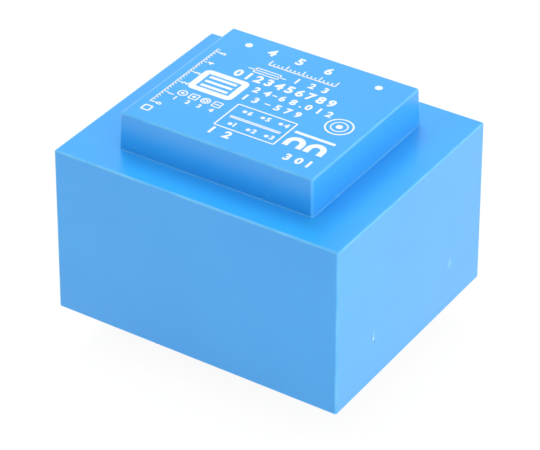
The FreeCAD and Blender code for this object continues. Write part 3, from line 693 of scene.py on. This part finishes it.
def stroke(path, width, closed=False):
    """A flat rib of ink: a rectangle, width across and as high as the film, carried along a path of (x, y)
    points. At each point it stands on the mean of the two runs' normals, divided by how much they agree."""
    path = np.asarray(path, float)
    ahead = np.roll(path, -1, axis=0) - path
    behind = np.roll(ahead, 1, axis=0)
    if not closed:
        ahead[-1] = behind[-1]
        behind[0] = ahead[0]
    ahead = ahead / np.linalg.norm(ahead, axis=1, keepdims=True)
    behind = behind / np.linalg.norm(behind, axis=1, keepdims=True)
    mean = np.stack([-(ahead + behind)[:, 1], (ahead + behind)[:, 0]], axis=1) / 2
    mean = mean / np.maximum((mean ** 2).sum(axis=1, keepdims=True), LEAST_AGREED) * width / 2
    left, right = path + mean, path - mean
    section = [(left, INK_LOW), (right, INK_LOW), (right, INK_HIGH), (left, INK_HIGH)]
    grid = np.stack([np.column_stack([p, np.full(len(p), z)]) for p, z in section], axis=1)
    faces = [list(face) for face in ring_faces(len(path), 4, closed)[:, ::-1]]
    if not closed:
        last = 4 * (len(path) - 1)
        faces += [[0, 1, 2, 3], [last + 3, last + 2, last + 1, last]]
    return grid.reshape(-1, 3), faces


def filled(x, y):
    """A flat pad of ink inside an anticlockwise, convex outline."""
    n = len(x)
    low = np.column_stack([x, y, np.full(n, INK_LOW)])
    high = np.column_stack([x, y, np.full(n, INK_HIGH)])
    sides = [[i, (i + 1) % n, n + (i + 1) % n, n + i] for i in range(n)]
    return np.concatenate([low, high]), sides + [list(range(n - 1, -1, -1)), list(range(n, 2 * n))]


def arc(x, y, radius, start, end, count):
    """Points on an arc round (x, y), from the start angle to the end angle in degrees."""
    angle = np.radians(np.linspace(start, end, count))
    return np.column_stack([x + radius * np.cos(angle), y + radius * np.sin(angle)])


def dot(x, y, radius):
    """A round pad of ink."""
    points = arc(x, y, radius, 0, 360, DOT_POINTS + 1)[:-1]
    return filled(points[:, 0], points[:, 1])


def ring(x, y, radius, width):
    """A circle, drawn in ink."""
    return stroke(arc(x, y, radius, 0, 360, RING_POINTS + 1)[:-1], width, closed=True)


def box_line(left, right, low, high, width):
    """A frame with rounded corners, drawn in ink."""
    x, y = rounded_outline((right - left) / 2, (high - low) / 2, FRAME_RADIUS, steps=5)
    path = np.column_stack([x[:, 0] + (left + right) / 2, y[:, 0] + (low + high) / 2])
    return stroke(path, width, closed=True)


def bar(x0, y0, x1, y1, width):
    """A straight line, drawn in ink."""
    return stroke([(x0, y0), (x1, y1)], width)


def numerals(text, left, low, height, share=0.0, turned=False):
    """Numbers set in the plain built-in type, scaled to the given height. share is how much of their own
    width lies to the left of left. Turned ones run up the platform instead of across it."""
    curve = bpy.data.curves.new("type", "FONT")
    curve.body = text
    curve.resolution_u = 3
    curve.offset = TYPE_WEIGHT
    # any depth will do, since it only tells the upper face's points from the lower one's
    curve.extrude = 0.5
    setting = bpy.data.objects.new("type", curve)
    scene.collection.objects.link(setting)
    mesh = bpy.data.meshes.new_from_object(setting.evaluated_get(bpy.context.evaluated_depsgraph_get()))
    points = np.zeros(len(mesh.vertices) * 3)
    mesh.vertices.foreach_get("co", points)
    points = points.reshape(-1, 3)
    faces = [list(face.vertices) for face in mesh.polygons]
    bpy.data.objects.remove(setting)
    bpy.data.curves.remove(curve)
    bpy.data.meshes.remove(mesh)
    flat = points[:, :2] - points[:, :2].min(axis=0)
    flat = flat * (height / flat[:, 1].max())
    flat[:, 0] -= share * flat[:, 0].max()
    if turned:
        flat = np.column_stack([height - flat[:, 1], flat[:, 0]])
    level = np.where(points[:, 2] > 0, INK_HIGH, INK_LOW)
    return np.column_stack([flat[:, 0] + left, flat[:, 1] + low, level]), faces


def add_print(name, shapes):
    """One piece of print from several shapes of ink, each given as points and faces."""
    points = []
    faces = []
    count = 0
    for own_points, own_faces in shapes:
        points.append(own_points)
        faces += [[v + count for v in face] for face in own_faces]
        count += len(own_points)
    piece = add_piece(name, np.concatenate(points), faces, ink)
    weld = piece.modifiers.new("weld", "WELD")
    weld.merge_threshold = WELD_WITHIN * MM


# widths of a line
FINE = 0.22
PLAIN = 0.28

# Rear rows: a dot at each rear corner, three numbers, and a short rule.
shapes = [dot(-11.8, 11.9, 0.62), dot(11.8, 11.9, 0.62)]
shapes += [numerals(text, x, 10.9, 2.0) for text, x in (("4", -8.1), ("5", -2.9), ("6", 2.3))]
shapes += [bar(-6.0, 8.55, 6.0, 8.55, PLAIN)]
for i, x in enumerate(np.linspace(-6.0, 6.0, 17)):
    shapes.append(bar(x, 8.55, x, 9.9 if i % 4 == 0 else 9.25, FINE))
add_print("print_rear_rows", shapes)

# Second row: a long frame with a line through it, and three numbers.
shapes = [box_line(-6.9, -2.5, 5.55, 6.85, FINE), bar(-8.1, 6.2, -1.3, 6.2, FINE)]
shapes += [numerals(text, x, 6.0, 1.55) for text, x in (("1", 0.2), ("2", 2.6), ("3", 5.0))]
add_print("print_frame_row", shapes)

# Large row: the ten digits, evenly set.
shapes = [numerals(str(i), -8.5 + 1.86 * i, 3.0, 2.05, share=0.5) for i in range(10)]
add_print("print_large_row", shapes)

# Two plain rows beneath it: spaced digits with a short dash in each row, and a dot in the first.
shapes = [numerals(text, x, 0.45, 1.6) for text, x in (("2", -3.9), ("4", -2.0), ("6", 0.8), ("8", 2.7))]
shapes += [bar(-0.5, 1.25, 0.3, 1.25, PLAIN), dot(4.7, 0.7, 0.2)]
shapes += [numerals(text, x, 0.45, 1.6) for text, x in (("0", 5.4), ("1", 7.6), ("2", 9.1))]
odd_digits = (("1", -3.9), ("3", -2.3), ("5", 1.6), ("7", 3.4), ("9", 5.2))
shapes += [numerals(text, x, -2.2, 1.6) for text, x in odd_digits]
shapes += [bar(-0.2, -1.4, 0.8, -1.4, PLAIN)]
add_print("print_number_rows", shapes)

# Left block: a bold frame round three bars.
x, y = rounded_outline(3.5, 2.52, 0.5, steps=6)
shapes = [stroke(np.column_stack([x[:, 0] - 9.05, y[:, 0] - 0.68]), width=1.1, closed=True)]
shapes += [bar(-11.5, y, -6.6, y, width=0.62) for y in (-1.95, -0.68, 0.6)]
add_print("print_bold_frame", shapes)

# Small shapes beneath the block: circles and squares in a row, with small digits under them.
shapes = [ring(-12.3, -5.6, 0.72, FINE), dot(-12.3, -5.6, 0.3)]
shapes += [box_line(-10.9, -9.5, -6.3, -4.9, FINE), dot(-10.2, -5.6, 0.3)]
shapes += [ring(-8.1, -5.6, 0.72, FINE), ring(-8.1, -5.6, 0.34, FINE)]
shapes += [box_line(-6.7, -5.3, -6.3, -4.9, FINE), bar(-6.7, -5.6, -5.3, -5.6, FINE)]
shapes += [numerals(str(i + 1), -12.6 + 2.1 * i, -7.9, 1.05) for i in range(4)]
add_print("print_small_shapes", shapes)

# Pin plan: a frame with six numbered dots for the pins, and a double line between its two sides.
shapes = [box_line(-3.4, 7.1, -10.35, -3.65, width=0.24)]
for column in range(3):
    x = -1.4 + 3.2 * column
    shapes += [dot(x, -5.0, 0.36), dot(x, -9.0, 0.36)]
    shapes += [numerals(str(6 - column), x + 0.62, -5.55, 1.15)]
    shapes += [numerals(str(1 + column), x + 0.62, -9.5, 1.15)]
shapes += [bar(-2.6, -7.0, 6.3, -7.0, FINE), bar(-2.6, -7.35, 6.3, -7.35, FINE)]
add_print("print_pin_plan", shapes)

# Right side: a ring round a dot, and below it two bold arches under a bar.
shapes = [ring(12.7, -0.95, 2.15, PLAIN), ring(12.7, -0.95, 1.3, FINE), dot(12.7, -0.95, 0.55)]
add_print("print_ring", shapes)
shapes = [bar(7.9, -5.6, 14.9, -5.6, width=0.6)]
ARCH_RADIUS = 1.15
for x in (9.6, 13.2):
    bend = arc(x, -8.3, ARCH_RADIUS, 180, 0, count=21)
    path = np.concatenate([[(x - ARCH_RADIUS, -9.5)], bend, [(x + ARCH_RADIUS, -9.5)]])
    shapes.append(stroke(path, width=0.95))
add_print("print_arches", shapes)

# Left edge: a rule that runs up the platform, with a longer mark at every fifth step and digits beside it.
shapes = [bar(-15.15, -10.25, -15.15, 8.4, FINE)]
for i, y in enumerate(np.linspace(-10.0, 8.2, 27)):
    shapes.append(bar(-15.15, y, -14.3 if i % 5 == 0 else -14.7, y, FINE))
shapes += [numerals(str(i), -14.22, -10.35 + 3.5 * i, 1.05, turned=True) for i in range(6)]
add_print("print_side_rule", shapes)

# Front row: a small square at the left, then two digits and three digits along the primary side.
shapes = [box_line(-15.1, -13.8, -12.6, -11.3, PLAIN)]
shapes += [numerals(text, x, -12.8, 1.9) for text, x in (("1", -3.0), ("2", -0.6))]
shapes += [numerals(text, x, -13.0, 1.8) for text, x in (("3", 10.2), ("0", 12.1), ("1", 14.2))]
add_print("print_front_row", shapes)
